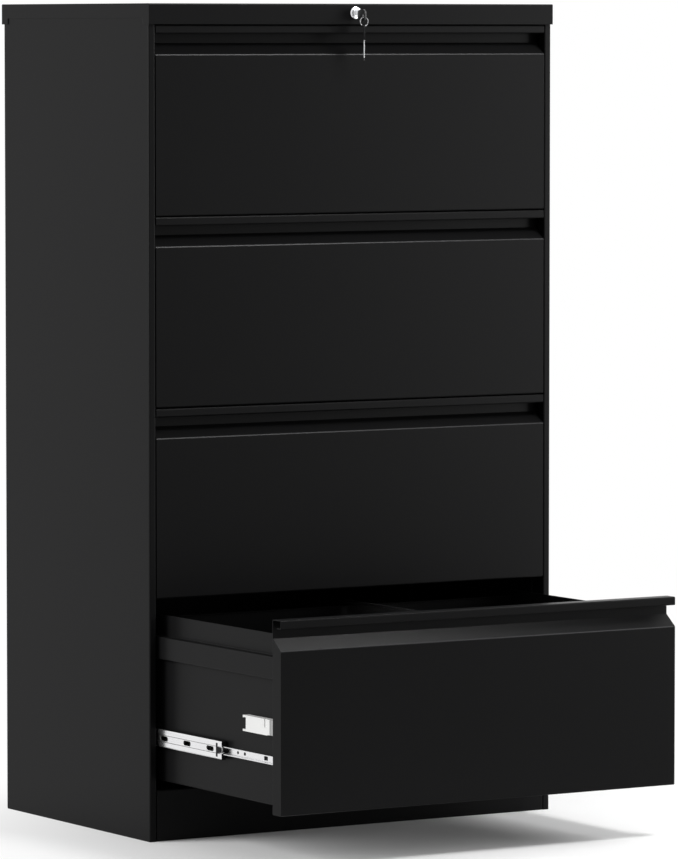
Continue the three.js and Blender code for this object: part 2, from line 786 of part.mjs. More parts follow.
// Key in the (y, z) plane: head upward, blade hanging down from z = 0, cuts along one edge.
function keyShape() {
  const { length, width, gauge, corner, hole, rim } = keyHead;
  const head = roundedRectangle(-width / 2 - keyDroop, width / 2 - keyDroop, 0, length, corner);
  const holeRise = length - rim - hole;
  head.holes.push(new THREE.Path().absarc(-keyDroop, holeRise, hole, 0, Math.PI * 2, true));
  const edge = keyBlade.width / 2;
  const blade = [
    [-edge, keyBlade.tang],
    [-edge, edge - keyBlade.length],
    [0, -keyBlade.length],
    [edge, edge - keyBlade.length],
  ];
  for (let k = keyCuts.length; k > 0; k -= 1) {
    const foot = -edge - k * keyBlade.pitch;
    blade.push([edge - keyCuts[k - 1], foot], [edge, foot + keyBlade.pitch / 2]);
  }
  blade.push([edge, keyBlade.tang]);
  return join(
    alongX(head, -gauge / 2, gauge / 2),
    alongX(polygon(blade), -keyBlade.gauge / 2, keyBlade.gauge / 2),
  );
}

// --- Assembly ------------------------------------------------------------------------------

function carcass() {
  const group = new THREE.Group();
  group.add(piece('left_side_panel', geometryOf(sidePanel(-1)), paint));
  group.add(piece('right_side_panel', geometryOf(sidePanel(1)), paint));
  group.add(piece('back_panel', geometryOf(backPanel()), paint));
  group.add(piece('top_cap', geometryOf(topCap()), paint));
  group.add(piece('base_pan', geometryOf(basePan()), paint));
  const places = [['front', frontPlane + uprightInset], ['rear', backPlane - uprightInset]];
  for (const [where, y] of places) {
    group.add(piece(`left_${where}_upright`, geometryOf(slideUpright(-1, y)), paint));
    group.add(piece(`right_${where}_upright`, geometryOf(slideUpright(1, y)), paint));
  }
  for (const [where, x, y] of footPlaces()) {
    const foot = piece(`${where}_foot`, levellingFoot(), blackPlastic);
    foot.position.set(x, y, 0);
    group.add(foot);
  }
  return group;
}

function lockParts() {
  const group = new THREE.Group();
  group.add(piece('lock_housing', lockHousing(), chrome));
  group.add(piece('lock_plug', geometryOf(lockPlug()), chrome));
  group.add(piece('lock_cross_bar', geometryOf(lockCrossBar()), zinc));
  group.add(piece('lock_bar', geometryOf(lockBar()), zinc));

  const key = piece('key_in_lock', geometryOf(keyShape()), blackPlastic);
  key.rotation.x = Math.PI / 2;
  key.position.set(0, bezelFace - plugClearance + keyInsertion - keyBlade.length, lockZ);
  group.add(key);
  return group;
}

function drawers() {
  const group = new THREE.Group();
  const shared = {
    front: geometryOf(drawerFront()),
    tray: geometryOf(drawerTray()),
    bar: geometryOf(hangBar()),
    block: geometryOf(interlockBlock()),
  };
  const slides = ['left', 'right'].map((where) => {
    const side = where === 'left' ? -1 : 1;
    return {
      where,
      outer: geometryOf(outerMember(side)),
      middle: geometryOf(middleMember(side)),
      inner: geometryOf(innerMember(side)),
    };
  });
  for (let tier = 0; tier < drawerCount; tier += 1) {
    const name = `drawer_${tier + 1}`;
    const open = tier === drawerCount - 1;
    const fixed = new THREE.Group();
    const middle = new THREE.Group();
    const drawer = new THREE.Group();
    middle.position.y = open ? -bottomMiddleOut : 0;
    drawer.position.y = open ? -bottomDrawerOut : 0;
    drawer.add(piece(`${name}_front`, shared.front, paint));
    drawer.add(piece(`${name}_tray`, shared.tray, paint));
    drawer.add(piece(`${name}_hang_bar`, shared.bar, zinc));
    drawer.add(piece(`${name}_interlock_block`, shared.block, whitePlastic));
    for (const slide of slides) {
      fixed.add(piece(`${name}_${slide.where}_outer_slide`, slide.outer, zinc));
      middle.add(piece(`${name}_${slide.where}_middle_slide`, slide.middle, zinc));
      drawer.add(piece(`${name}_${slide.where}_inner_slide`, slide.inner, zinc));
    }
    const stack = new THREE.Group();
    stack.position.z = drawerBase(tier);
    stack.add(fixed, middle, drawer);
    group.add(stack);
  }
  return group;
}

const cabinet = new THREE.Group();
cabinet.add(carcass(), lockParts(), drawers());
const frontmost = frontPlane - bottomDrawerOut;
const rearmost = backPlane + capOverhang;
cabinet.position.y = -(frontmost + rearmost) / 2;

export default cabinet;
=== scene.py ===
# Lateral filing cabinet: finishes, lock bezel, loose keys, slide trim, light and camera,
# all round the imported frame.
import bpy
import json
import math
import numpy as np
from mathutils import Euler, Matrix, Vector


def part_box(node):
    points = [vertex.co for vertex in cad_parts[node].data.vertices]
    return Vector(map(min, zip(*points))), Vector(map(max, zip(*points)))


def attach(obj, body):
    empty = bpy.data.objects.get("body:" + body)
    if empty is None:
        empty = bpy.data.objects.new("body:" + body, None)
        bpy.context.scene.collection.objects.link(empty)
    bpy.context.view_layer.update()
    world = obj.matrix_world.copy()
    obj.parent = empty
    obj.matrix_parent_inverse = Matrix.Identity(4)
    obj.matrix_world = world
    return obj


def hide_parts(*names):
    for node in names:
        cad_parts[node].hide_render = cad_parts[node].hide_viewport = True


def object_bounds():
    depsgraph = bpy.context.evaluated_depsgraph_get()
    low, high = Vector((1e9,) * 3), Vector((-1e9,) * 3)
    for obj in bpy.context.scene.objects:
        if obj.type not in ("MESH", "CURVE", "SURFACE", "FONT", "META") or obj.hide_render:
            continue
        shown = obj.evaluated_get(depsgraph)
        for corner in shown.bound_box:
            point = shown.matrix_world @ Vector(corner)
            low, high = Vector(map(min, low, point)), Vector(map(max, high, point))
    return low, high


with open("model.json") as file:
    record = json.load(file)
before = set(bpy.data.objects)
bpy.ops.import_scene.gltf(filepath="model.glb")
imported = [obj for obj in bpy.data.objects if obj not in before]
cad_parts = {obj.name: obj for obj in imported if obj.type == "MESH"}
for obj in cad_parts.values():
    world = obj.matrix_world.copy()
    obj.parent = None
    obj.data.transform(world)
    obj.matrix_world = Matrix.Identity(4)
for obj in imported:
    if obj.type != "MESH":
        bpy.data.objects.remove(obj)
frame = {"nodes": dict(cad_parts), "record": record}
cadLow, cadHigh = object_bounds()
mm = 0.001
drawerNumbers = (1, 2, 3, 4)    # drawer 1 is the top one
print("frame loaded:", len(frame["nodes"]), "nodes")


nodeSpacing = (200, 160)    # of the shader editor's grid, along and up


def feed(tree, socket, value):
    # a value is either another node's output or a plain constant
    if isinstance(value, bpy.types.NodeSocket):
        tree.links.new(value, socket)
    else:
        socket.default_value = value


def addNode(tree, kind, place, inputs=None, **settings):
    # place is the node's column and row; inputs go by name or index
    node = tree.nodes.new(kind)
    node.location = (place[0] * nodeSpacing[0], place[1] * nodeSpacing[1])
    for key, value in settings.items():
        setattr(node, key, value)
    for key, value in (inputs or {}).items():
        feed(tree, node.inputs[key], value)
    return node


def newGroup(name, inputs, outputs):
    # an empty shader group: inputs are (name, kind, value), outputs are (name, kind)
    tree = bpy.data.node_groups.new(name, "ShaderNodeTree")
    for socketName, kind, value in inputs:
        socket = tree.interface.new_socket(name=socketName, in_out="INPUT", socket_type=kind)
        if value is not None:
            socket.default_value = value
    for socketName, kind in outputs:
        tree.interface.new_socket(name=socketName, in_out="OUTPUT", socket_type=kind)
    return tree, tree.nodes.new("NodeGroupInput").outputs, tree.nodes.new("NodeGroupOutput").inputs


def placeGroup(tree, group, place, **values):
    return addNode(tree, "ShaderNodeGroup", place, values, node_tree=group).outputs


def newMaterial(name, baseColour, roughness, metallic=0.0, specular=0.5):
    # a Principled surface with its plain values on its own sockets
    material = bpy.data.materials.new(name)
    material.use_nodes = True
    tree = material.node_tree
    shader = tree.nodes["Principled BSDF"]
    shader.inputs["Base Color"].default_value = (*baseColour, 1)
    shader.inputs["Roughness"].default_value = roughness
    shader.inputs["Metallic"].default_value = metallic
    shader.inputs["Specular IOR Level"].default_value = specular
    material.diffuse_color = (*baseColour, 1)
    coords = addNode(tree, "ShaderNodeTexCoord", (-6, 0)).outputs["Object"]
    return material, tree, shader.inputs, coords


def mathNode(tree, operation, place, first, second=None, clamp=False):
    inputs = {0: first} if second is None else {0: first, 1: second}
    return addNode(tree, "ShaderNodeMath", place, inputs,
                   operation=operation, use_clamp=clamp).outputs[0]


def smoothStep(tree, place, value, low, high, falling=False):
    # 0 below low and 1 above high, eased between them; the other way round when falling
    ends = {"To Min": 1.0, "To Max": 0.0} if falling else {"To Min": 0.0, "To Max": 1.0}
    return addNode(tree, "ShaderNodeMapRange", place,
                   {"Value": value, "From Min": low, "From Max": high, **ends},
                   interpolation_type="SMOOTHSTEP").outputs[0]


def blendColour(tree, place, share, first, second):
    # the colour sockets of a Mix node are its inputs 6 and 7 and its output 2
    node = addNode(tree, "ShaderNodeMix", place, {0: share}, data_type="RGBA")
    for index, colour in ((6, first), (7, second)):
        plain = not isinstance(colour, bpy.types.NodeSocket)
        feed(tree, node.inputs[index], (*colour, 1) if plain else colour)
    return node.outputs[2]


def scaledColour(tree, place, factor, colour):
    return addNode(tree, "ShaderNodeVectorMath", place, {0: colour, "Scale": factor},
                   operation="SCALE").outputs[0]


def bumpTo(tree, place, height, strength, distance, normal=None):
    inputs = {"Height": height, "Strength": strength, "Distance": distance}
    if normal is not None:
        inputs["Normal"] = normal
    return addNode(tree, "ShaderNodeBump", place, inputs).outputs[0]


def addRoughness(tree, sockets, base, change):
    tree.links.new(mathNode(tree, "ADD", (-2, -2), base, change, clamp=True),
                   sockets["Roughness"])


def axesOf(tree, place, vector):
    return addNode(tree, "ShaderNodeSeparateXYZ", place, {"Vector": vector}).outputs


noiseMean = 0.5
grainShape = {
    "bumpDetail": 2.0,
    "fineDetail": 1.0,
    "fineShare": 0.35,
    "driftDetail": 4.0,
}


def makeGrain():
    # fine bumps over softer, wider ones, with a slow drift in tone and gloss
    tree, source, result = newGroup(
        "surface_grain",
        [("Vector", "NodeSocketVector", None), ("Bumps", "NodeSocketFloat", 900.0),
         ("Fine", "NodeSocketFloat", 2800.0), ("Drift", "NodeSocketFloat", 3.0),
         ("Tone", "NodeSocketFloat", 0.06), ("Sheen Range", "NodeSocketFloat", 0.05)],
        [("Tone", "NodeSocketFloat"), ("Gloss", "NodeSocketFloat"), ("Height", "NodeSocketFloat")])
    bumps = addNode(tree, "ShaderNodeTexNoise", (1, 2),
                    {"Vector": source["Vector"], "Scale": source["Bumps"],
                     "Detail": grainShape["bumpDetail"]})
    fine = addNode(tree, "ShaderNodeTexNoise", (1, 0),
                   {"Vector": source["Vector"], "Scale": source["Fine"],
                    "Detail": grainShape["fineDetail"]})
    drift = addNode(tree, "ShaderNodeTexNoise", (1, -2),
                    {"Vector": source["Vector"], "Scale": source["Drift"],
                     "Detail": grainShape["driftDetail"]})
    height = mathNode(tree, "ADD", (3, 1), bumps.outputs[0],
                      mathNode(tree, "MULTIPLY", (2, 0), fine.outputs[0],
                               grainShape["fineShare"]))
    centred = mathNode(tree, "SUBTRACT", (2, -2), drift.outputs[0], noiseMean)
    tone = mathNode(tree, "ADD", (4, -1), 1.0,
                    mathNode(tree, "MULTIPLY", (3, -1), centred, source["Tone"]))
    gloss = mathNode(tree, "MULTIPLY", (3, -2), centred, source["Sheen Range"])
    tree.links.new(height, result["Height"])
    tree.links.new(tone, result["Tone"])
    tree.links.new(gloss, result["Gloss"])
    return tree


edgeSamples = 4


def makeEdgeMask():
    # mask of the edges where the rounded normal leaves the flat one, and that rounded normal
    tree, source, result = newGroup(
        "edge_mask",
        [("Radius", "NodeSocketFloat", 0.0008), ("Gain", "NodeSocketFloat", 3.0)],
        [("Mask", "NodeSocketFloat"), ("Normal", "NodeSocketVector")])
    rounded = addNode(tree, "ShaderNodeBevel", (1, 1), {"Radius": source["Radius"]},
                      samples=edgeSamples)
    plain = addNode(tree, "ShaderNodeNewGeometry", (1, -1))
    dot = addNode(tree, "ShaderNodeVectorMath", (2, 0),
                  {0: rounded.outputs["Normal"], 1: plain.outputs["Normal"]},
                  operation="DOT_PRODUCT")
    bend = mathNode(tree, "SUBTRACT", (3, 0), 1.0, dot.outputs["Value"])
    tree.links.new(mathNode(tree, "MULTIPLY", (4, 0), bend, source["Gain"], clamp=True),
                   result["Mask"])
    tree.links.new(rounded.outputs["Normal"], result["Normal"])
    return tree


streakDetail = 3.0


def makeRolled():
    # streaks drawn out along the rolling direction: noise stretched by a scale per axis
    tree, source, result = newGroup(
        "rolled_streaks",
        [("Vector", "NodeSocketVector", None), ("Stretch", "NodeSocketVector", (600, 12, 600)),
         ("Contrast", "NodeSocketFloat", 0.2)],
        [("Tone", "NodeSocketFloat"), ("Height", "NodeSocketFloat")])
    stretched = addNode(tree, "ShaderNodeVectorMath", (1, 0),
                        {0: source["Vector"], 1: source["Stretch"]}, operation="MULTIPLY")
    streaks = addNode(tree, "ShaderNodeTexNoise", (2, 0),
                      {"Vector": stretched.outputs[0], "Scale": 1.0, "Detail": streakDetail})
    centred = mathNode(tree, "SUBTRACT", (3, 0), streaks.outputs[0], noiseMean)
    tone = mathNode(tree, "ADD", (5, 0), 1.0,
                    mathNode(tree, "MULTIPLY", (4, 0), centred, source["Contrast"]))
    tree.links.new(tone, result["Tone"])
    tree.links.new(streaks.outputs[0], result["Height"])
    return tree


grainGroup = makeGrain()
edgeGroup = makeEdgeMask()
rolledGroup = makeRolled()
print("shared effects ready")


paint = {
    "base": (0.0060, 0.0060, 0.0062),
    # paler on bends: partly a thinner coat, partly a painted highlight
    "edge": (0.020, 0.020, 0.0205),
    "fold": (0.030, 0.030, 0.031),     # painted highlight on the fold along each drawer front's recess
    "foldCoat": 0.095,
    "foldDrop": 48 * mm,               # below the drawer front's top
    "foldReach": 5 * mm,
    "foldFrom": (0.05, 0.25),          # upward share of the normal where the fold begins
    "foldTo": (0.58, 0.76),            # and where it ends
    "roughness": 0.34,
    "specular": 0.048,
    "grain": {"Tone": 0.14},
    "bump": 0.5,
    "peelDepth": 0.03 * mm,
    "edgeRadius": 0.9 * mm,
}


def powderCoat(name, glintedFold=False):
    # satin black powder coat: orange peel about a millimetre wide, paler on bends, partly as a
    # thinner coat and partly as a painted highlight; the front version adds a painted highlight on
    # the fold along the recess, paler and under a glossier coat, at every drawer's height
    material, tree, sockets, coords = newMaterial(
        name, paint["base"], paint["roughness"], specular=paint["specular"])
    grain = placeGroup(tree, grainGroup, (-5, 0), Vector=coords, **paint["grain"])
    edge = placeGroup(tree, edgeGroup, (-5, 2), Radius=paint["edgeRadius"])
    # bends made paler by the edge mask: partly a thinner coat, partly a painted highlight
    colour = blendColour(tree, (-3, 2), edge["Mask"], paint["base"], paint["edge"])
    if glintedFold:
        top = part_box("drawer_4_front")[1].z
        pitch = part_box("drawer_3_front")[1].z - top
        above = mathNode(tree, "SUBTRACT", (-5, 6), axesOf(tree, (-6, 6), coords)["Z"],
                         top - paint["foldDrop"])
        away = mathNode(tree, "PINGPONG", (-4, 6), above, pitch / 2)
        along = mathNode(tree, "LESS_THAN", (-3, 6), away, paint["foldReach"])
        rise = axesOf(tree, (-5, 4), edge["Normal"])["Z"]
        begun = smoothStep(tree, (-4, 5), rise, *paint["foldFrom"])
        unfinished = smoothStep(tree, (-4, 4), rise, *paint["foldTo"], falling=True)
        fold = mathNode(tree, "MULTIPLY", (-2, 5), along,
                        mathNode(tree, "MULTIPLY", (-3, 4), begun, unfinished))
        # painted highlight: the up-facing facets of the recess fold at each drawer's height are
        # made paler, and glossier through the coat
        colour = blendColour(tree, (-2, 3), fold, colour, paint["fold"])
        tree.links.new(mathNode(tree, "MULTIPLY", (-2, 4), fold, paint["foldCoat"]),
                       sockets["Coat Weight"])
        sockets["Coat Roughness"].default_value = paint["roughness"]
    tree.links.new(scaledColour(tree, (-2, 1), grain["Tone"], colour), sockets["Base Color"])
    addRoughness(tree, sockets, paint["roughness"], grain["Gloss"])
    tree.links.new(bumpTo(tree, (-2, -3), grain["Height"], paint["bump"], paint["peelDepth"],
                          edge["Normal"]), sockets["Normal"])
    return material


zinc = {
    "base": (0.80, 0.80, 0.81),
    "dull": (0.58, 0.58, 0.59),
    "dullFrom": 1.06,        # the grain's tone under which the plating looks duller
    "roughness": 0.22,
    "grain": {"Bumps": 260.0, "Fine": 1500.0, "Drift": 22.0, "Tone": 0.30},
    "streakContrast": 0.16,
    "streakBump": 0.4,
    "streakDepth": 0.01 * mm,
    "edgeRadius": 0.5 * mm,
    "ridge": 5.5 * mm,       # from the slide's centre line
    "ridgeWidth": 1.2 * mm,
    "ridgeShade": 0.9,
    "ridgeBump": 0.5,
    "ridgeDepth": 0.25 * mm,
    # painted shade: a dark colour over the inside of the channel
    "channelShade": (0.09, 0.09, 0.085),    # inside the middle slides, where the balls run
    "channelShadeDepth": 0.9 * mm,           # from the web's outer face
}


def zincPlate(name, ridged=False):
    # bright zinc on rolled strip: streaks along the slides, duller where the plating is thin; the
    # ridged version adds two lines of painted shade along the bends of each middle slide's rolled
    # channel, at every drawer's height, and painted shade over the inside of its channel
    material, tree, sockets, coords = newMaterial(
        name, zinc["base"], zinc["roughness"], metallic=1.0)
    streaks = placeGroup(tree, rolledGroup, (-5, 0), Vector=coords,
                         Contrast=zinc["streakContrast"])
    grain = placeGroup(tree, grainGroup, (-5, 2), Vector=coords, **zinc["grain"])
    edge = placeGroup(tree, edgeGroup, (-5, 4), Radius=zinc["edgeRadius"])
    dull = mathNode(tree, "SUBTRACT", (-4, 2), zinc["dullFrom"], grain["Tone"], clamp=True)
    colour = blendColour(tree, (-3, 2), dull, zinc["base"], zinc["dull"])
    tone, normal = streaks["Tone"], edge["Normal"]
    if ridged:
        low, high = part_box("drawer_4_left_middle_slide")
        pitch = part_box("drawer_3_left_middle_slide")[0].z - low.z
        axes = axesOf(tree, (-8, 5), coords)
        above = mathNode(tree, "SUBTRACT", (-7, 5), axes["Z"], (low.z + high.z) / 2)
        centred = mathNode(tree, "PINGPONG", (-6, 5), above, pitch / 2)
        beside = mathNode(tree, "ABSOLUTE", (-4, 5),
                          mathNode(tree, "SUBTRACT", (-5, 5), centred, zinc["ridge"]))
        # painted shade along the two bends of the rolled channel
        line = smoothStep(tree, (-3, 5), beside, 0.0, zinc["ridgeWidth"] / 2, falling=True)
        kept = mathNode(tree, "SUBTRACT", (-2, 5), 1.0,
                        mathNode(tree, "MULTIPLY", (-2, 6), line, zinc["ridgeShade"]))
        tone = mathNode(tree, "MULTIPLY", (-2, 4), tone, kept)
        normal = bumpTo(tree, (-2, -5), line, zinc["ridgeBump"], zinc["ridgeDepth"], normal)
        # painted shade over the inside of the channel: inboard of the web's outer face and between
        # its flanges
        inward = mathNode(tree, "LESS_THAN", (-5, 7), mathNode(
            tree, "ABSOLUTE", (-6, 7), axes["X"]), -low.x - zinc["channelShadeDepth"])
        between = mathNode(tree, "LESS_THAN", (-5, 8), centred,
                           (high.z - low.z) / 2 - zinc["channelShadeDepth"])
        inside = mathNode(tree, "MULTIPLY", (-4, 7), inward, between)
        colour = blendColour(tree, (-3, 7), inside, colour, zinc["channelShade"])
    tree.links.new(scaledColour(tree, (-2, 1), tone, colour), sockets["Base Color"])
    addRoughness(tree, sockets, zinc["roughness"], grain["Gloss"])
    tree.links.new(bumpTo(tree, (-2, -3), streaks["Height"], zinc["streakBump"],
                          zinc["streakDepth"], normal), sockets["Normal"])
    return material


chrome = {
    "base": (0.84, 0.85, 0.87),
    "roughness": 0.26,
    "grain": {"Bumps": 700.0, "Fine": 2600.0, "Drift": 120.0, "Tone": 0.20},
    "ringPitch": 0.25 * mm,
    "bump": 0.5,
    "ringDepth": 0.004 * mm,
    "edgeRadius": 0.3 * mm,
}


def lockChrome(centre):
    # plated brass turned on a lathe: fine rings about the lock's axis
    material, tree, sockets, coords = newMaterial(
        "lock_chrome", chrome["base"], chrome["roughness"], metallic=1.0)
    moved = addNode(tree, "ShaderNodeMapping", (-5, 0),
                    {"Vector": coords, "Location": (-centre.x, 0, -centre.z),
                     "Scale": (1, 0, 1)})
    radius = addNode(tree, "ShaderNodeVectorMath", (-4, 0), {0: moved.outputs[0]},
                     operation="LENGTH")
    rings = mathNode(tree, "SINE", (-3, 0), mathNode(
        tree, "MULTIPLY", (-4, -1), radius.outputs["Value"], 2 * math.pi / chrome["ringPitch"]))
    grain = placeGroup(tree, grainGroup, (-5, 2), Vector=coords, **chrome["grain"])
    edge = placeGroup(tree, edgeGroup, (-5, 4), Radius=chrome["edgeRadius"])
    tree.links.new(scaledColour(tree, (-2, 1), grain["Tone"], chrome["base"]),
                   sockets["Base Color"])
    addRoughness(tree, sockets, chrome["roughness"], grain["Gloss"])
    tree.links.new(bumpTo(tree, (-2, -3), rings, chrome["bump"], chrome["ringDepth"],
                          edge["Normal"]), sockets["Normal"])
    return material


mouldedWhite = {
    "base": (0.80, 0.80, 0.79),
    "nose": (0.34, 0.34, 0.34),
    "noseLength": 10 * mm,
    "roughness": 0.42,
    "grain": {"Bumps": 1600.0, "Fine": 3800.0, "Drift": 40.0, "Tone": 0.06},
    "bump": 0.4,
    "sparkDepth": 0.02 * mm,
    "edgeRadius": 0.5 * mm,
}


def whitePlastic(name, noseBack):
    # moulded block: finely sparked surface, greyer on the thin nose ahead of noseBack
    material, tree, sockets, coords = newMaterial(
        name, mouldedWhite["base"], mouldedWhite["roughness"])
    grain = placeGroup(tree, grainGroup, (-5, 0), Vector=coords, **mouldedWhite["grain"])
    edge = placeGroup(tree, edgeGroup, (-5, 4), Radius=mouldedWhite["edgeRadius"])
    nose = mathNode(tree, "LESS_THAN", (-4, 2), axesOf(tree, (-5, 2), coords)["Y"], noseBack)
    colour = blendColour(tree, (-3, 2), nose, mouldedWhite["base"], mouldedWhite["nose"])
    tree.links.new(scaledColour(tree, (-2, 1), grain["Tone"], colour), sockets["Base Color"])
    addRoughness(tree, sockets, mouldedWhite["roughness"], grain["Gloss"])
    tree.links.new(bumpTo(tree, (-2, -3), grain["Height"], mouldedWhite["bump"],
                          mouldedWhite["sparkDepth"], edge["Normal"]), sockets["Normal"])
    return material


mouldedBlack = {
    "base": (0.012, 0.012, 0.013),
    "steel": (0.86, 0.86, 0.87),
    "dullSheen": 0.12,
    "matSheen": 0.03,
    "keySheen": 0.60,
    "roughness": 0.30,
    "grain": {"Bumps": 1200.0, "Fine": 3400.0, "Drift": 60.0, "Tone": 0.20},
    "bump": 0.4,
    "sparkDepth": 0.015 * mm,
    "edgeRadius": 0.4 * mm,
}


def blackPlastic(name, specular, steelFrom=None):
    # moulded plastic, and the steel blade beyond steelFrom along Y where a key has one
    material, tree, sockets, coords = newMaterial(
        name, mouldedBlack["base"], mouldedBlack["roughness"], specular=specular)
    grain = placeGroup(tree, grainGroup, (-5, 0), Vector=coords, **mouldedBlack["grain"])
    edge = placeGroup(tree, edgeGroup, (-5, 4), Radius=mouldedBlack["edgeRadius"])
    colour = mouldedBlack["base"]
    if steelFrom is not None:
        steel = mathNode(tree, "GREATER_THAN", (-4, 2), axesOf(tree, (-5, 2), coords)["Y"],
                         steelFrom)
        colour = blendColour(tree, (-3, 2), steel, mouldedBlack["base"], mouldedBlack["steel"])
        tree.links.new(steel, sockets["Metallic"])
    tree.links.new(scaledColour(tree, (-2, 1), grain["Tone"], colour), sockets["Base Color"])
    addRoughness(tree, sockets, mouldedBlack["roughness"], grain["Gloss"])
    tree.links.new(bumpTo(tree, (-2, -3), grain["Height"], mouldedBlack["bump"],
                          mouldedBlack["sparkDepth"], edge["Normal"]), sockets["Normal"])
    return material


milledSteel = {
    "base": (0.46, 0.46, 0.47),
    "roughness": 0.25,
    "marks": {"Stretch": (120, 120, 2600), "Contrast": 0.25},
    "bump": 0.4,
    "markDepth": 0.01 * mm,
}


def steelBlade():
    # dulled steel with milling marks across the blade
    material, tree, sockets, coords = newMaterial(
        "key_steel", milledSteel["base"], milledSteel["roughness"], metallic=1.0)
    marks = placeGroup(tree, rolledGroup, (-5, 0), Vector=coords, **milledSteel["marks"])
    tree.links.new(scaledColour(tree, (-2, 1), marks["Tone"], milledSteel["base"]),
                   sockets["Base Color"])
    tree.links.new(bumpTo(tree, (-2, -3), marks["Height"], milledSteel["bump"],
                          milledSteel["markDepth"]), sockets["Normal"])
    return material


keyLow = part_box("key_in_lock")[0]
lockLow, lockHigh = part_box("lock_housing")
lockCentre = (lockLow + lockHigh) / 2
keyPlan = {
    "headLength": 23 * mm,
    "holeBehind": 5 * mm,      # from the head's front end
    "holeUp": 9.5 * mm,        # from its lower edge
}
finishes = {
    "black_paint": powderCoat("black_paint"),
    "zinc_plate": zincPlate("zinc_plate"),
    "lock_chrome": lockChrome(lockCentre),
    "black_plastic": blackPlastic("black_plastic", mouldedBlack["dullSheen"]),
}
keyFinish = blackPlastic("key_plastic", mouldedBlack["keySheen"],
                         keyLow.y + keyPlan["headLength"])
keySteel = steelBlade()
middleZinc = zincPlate("zinc_ridged", ridged=True)
frontPaint = powderCoat("front_paint", glintedFold=True)
matPlastic = blackPlastic("mat_plastic", mouldedBlack["matSheen"])
for row in frame["record"]["subparts"]:
    node = frame["nodes"][row["node"]]
    slotName = row["material_slot"]
    node.data.materials.clear()
    if slotName == "white_plastic":
        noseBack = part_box(node.name)[0].y + mouldedWhite["noseLength"]
        node.data.materials.append(whitePlastic(f"white_{node.name}", noseBack))
    elif node.name == "key_in_lock":
        node.data.materials.append(keyFinish)
    elif node.name.endswith("middle_slide"):
        node.data.materials.append(middleZinc)
    elif node.name.endswith("_front"):
        node.data.materials.append(frontPaint)
    else:
        node.data.materials.append(finishes[slotName])


def signedVolume(mesh):
    # six times the volume, below zero when the faces look inward:
    # the sum over triangles of a . (b x c)
    mesh.calc_loop_triangles()
    corners = np.empty(len(mesh.loop_triangles) * 3, int)
    mesh.loop_triangles.foreach_get("vertices", corners)
    points = np.empty(len(mesh.vertices) * 3)
    mesh.vertices.foreach_get("co", points)
    a, b, c = np.moveaxis(points.reshape(-1, 3)[corners].reshape(-1, 3, 3), 1, 0)
    return float(np.einsum("ij,ij->", a, np.cross(b, c)))


def gridPiece(name, grid, material, body, closedRows=False, sharp=40):
    # grid is rows x columns x 3 points: columns close on themselves; rows close too, or end in
    # caps; edges bent by more than sharp degrees stay crisp
    rows, columns = grid.shape[:2]
    index = np.arange(rows * columns).reshape(rows, columns)
    lower = index if closedRows else index[:-1]
    upper = np.roll(index, -1, 0) if closedRows else index[1:]
    quads = np.stack([lower, np.roll(lower, -1, 1), np.roll(upper, -1, 1), upper], -1)
    faces = quads.reshape(-1, 4).tolist()
    if not closedRows:
        faces += [index[0, ::-1].tolist(), index[-1].tolist()]
    mesh = bpy.data.meshes.new(name)
    mesh.from_pydata(grid.reshape(-1, 3).tolist(), [], faces)
    mesh.update()
    if signedVolume(mesh) < 0:
        mesh.flip_normals()
    mesh.shade_smooth()
    mesh.set_sharp_from_angle(angle=math.radians(sharp))
    mesh.materials.append(material)
    piece = bpy.data.objects.new(name, mesh)
    bpy.context.collection.objects.link(piece)
    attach(piece, body)
    return piece


def tubeAlong(path, radius, sides):
    # circle of the given radius carried along the path, square to it at each point
    step = np.gradient(path, axis=0)
    step /= np.linalg.norm(step, axis=1, keepdims=True)
    guide = np.array([0.0, 1.0, 0.0])
    across = np.cross(step, guide)
    across /= np.linalg.norm(across, axis=1, keepdims=True)
    other = np.cross(step, across)
    turn = np.linspace(0, 2 * np.pi, sides, endpoint=False)
    ring = across[:, None] * np.cos(turn)[:, None] + other[:, None] * np.sin(turn)[:, None]
    return path[:, None] + radius * ring


def turned(profile, centre, sides):
    # profile (radius, y) turned about the Y axis through centre
    angle = np.linspace(0, 2 * np.pi, sides, endpoint=False)
    radius, along = np.array(profile, float).T
    x = centre[0] + radius[:, None] * np.cos(angle)
    y = np.repeat(along[:, None], sides, 1)
    z = centre[2] + radius[:, None] * np.sin(angle)
    return np.stack([x, y, z], -1)


def roundedOutline(width, height, power, sides):
    # x = width / 2 sign(cos t) |cos t|^power, z = height / 2 sign(sin t) |sin t|^power:
    # a circle or ellipse at power 1, squarer as it falls
    angle = np.linspace(0, 2 * np.pi, sides, endpoint=False)
    c, s = np.cos(angle), np.sin(angle)
    return np.stack([np.sign(c) * np.abs(c) ** power * width / 2,
                     np.sign(s) * np.abs(s) ** power * height / 2], -1)


# the lengths of the pieces below are in millimetres
bezel = {
    "bore": 6.7,
    "boreChamfer": 0.25,
    "barrel": 9.2,        # radius behind the rim
    "dome": 1.28,         # depth
    "domeSteps": 9,
    "flat": 7.7,          # radius of the flat face
    "rim": 3.0,
    "sides": 96,
    "crispFrom": 50,      # degrees
}


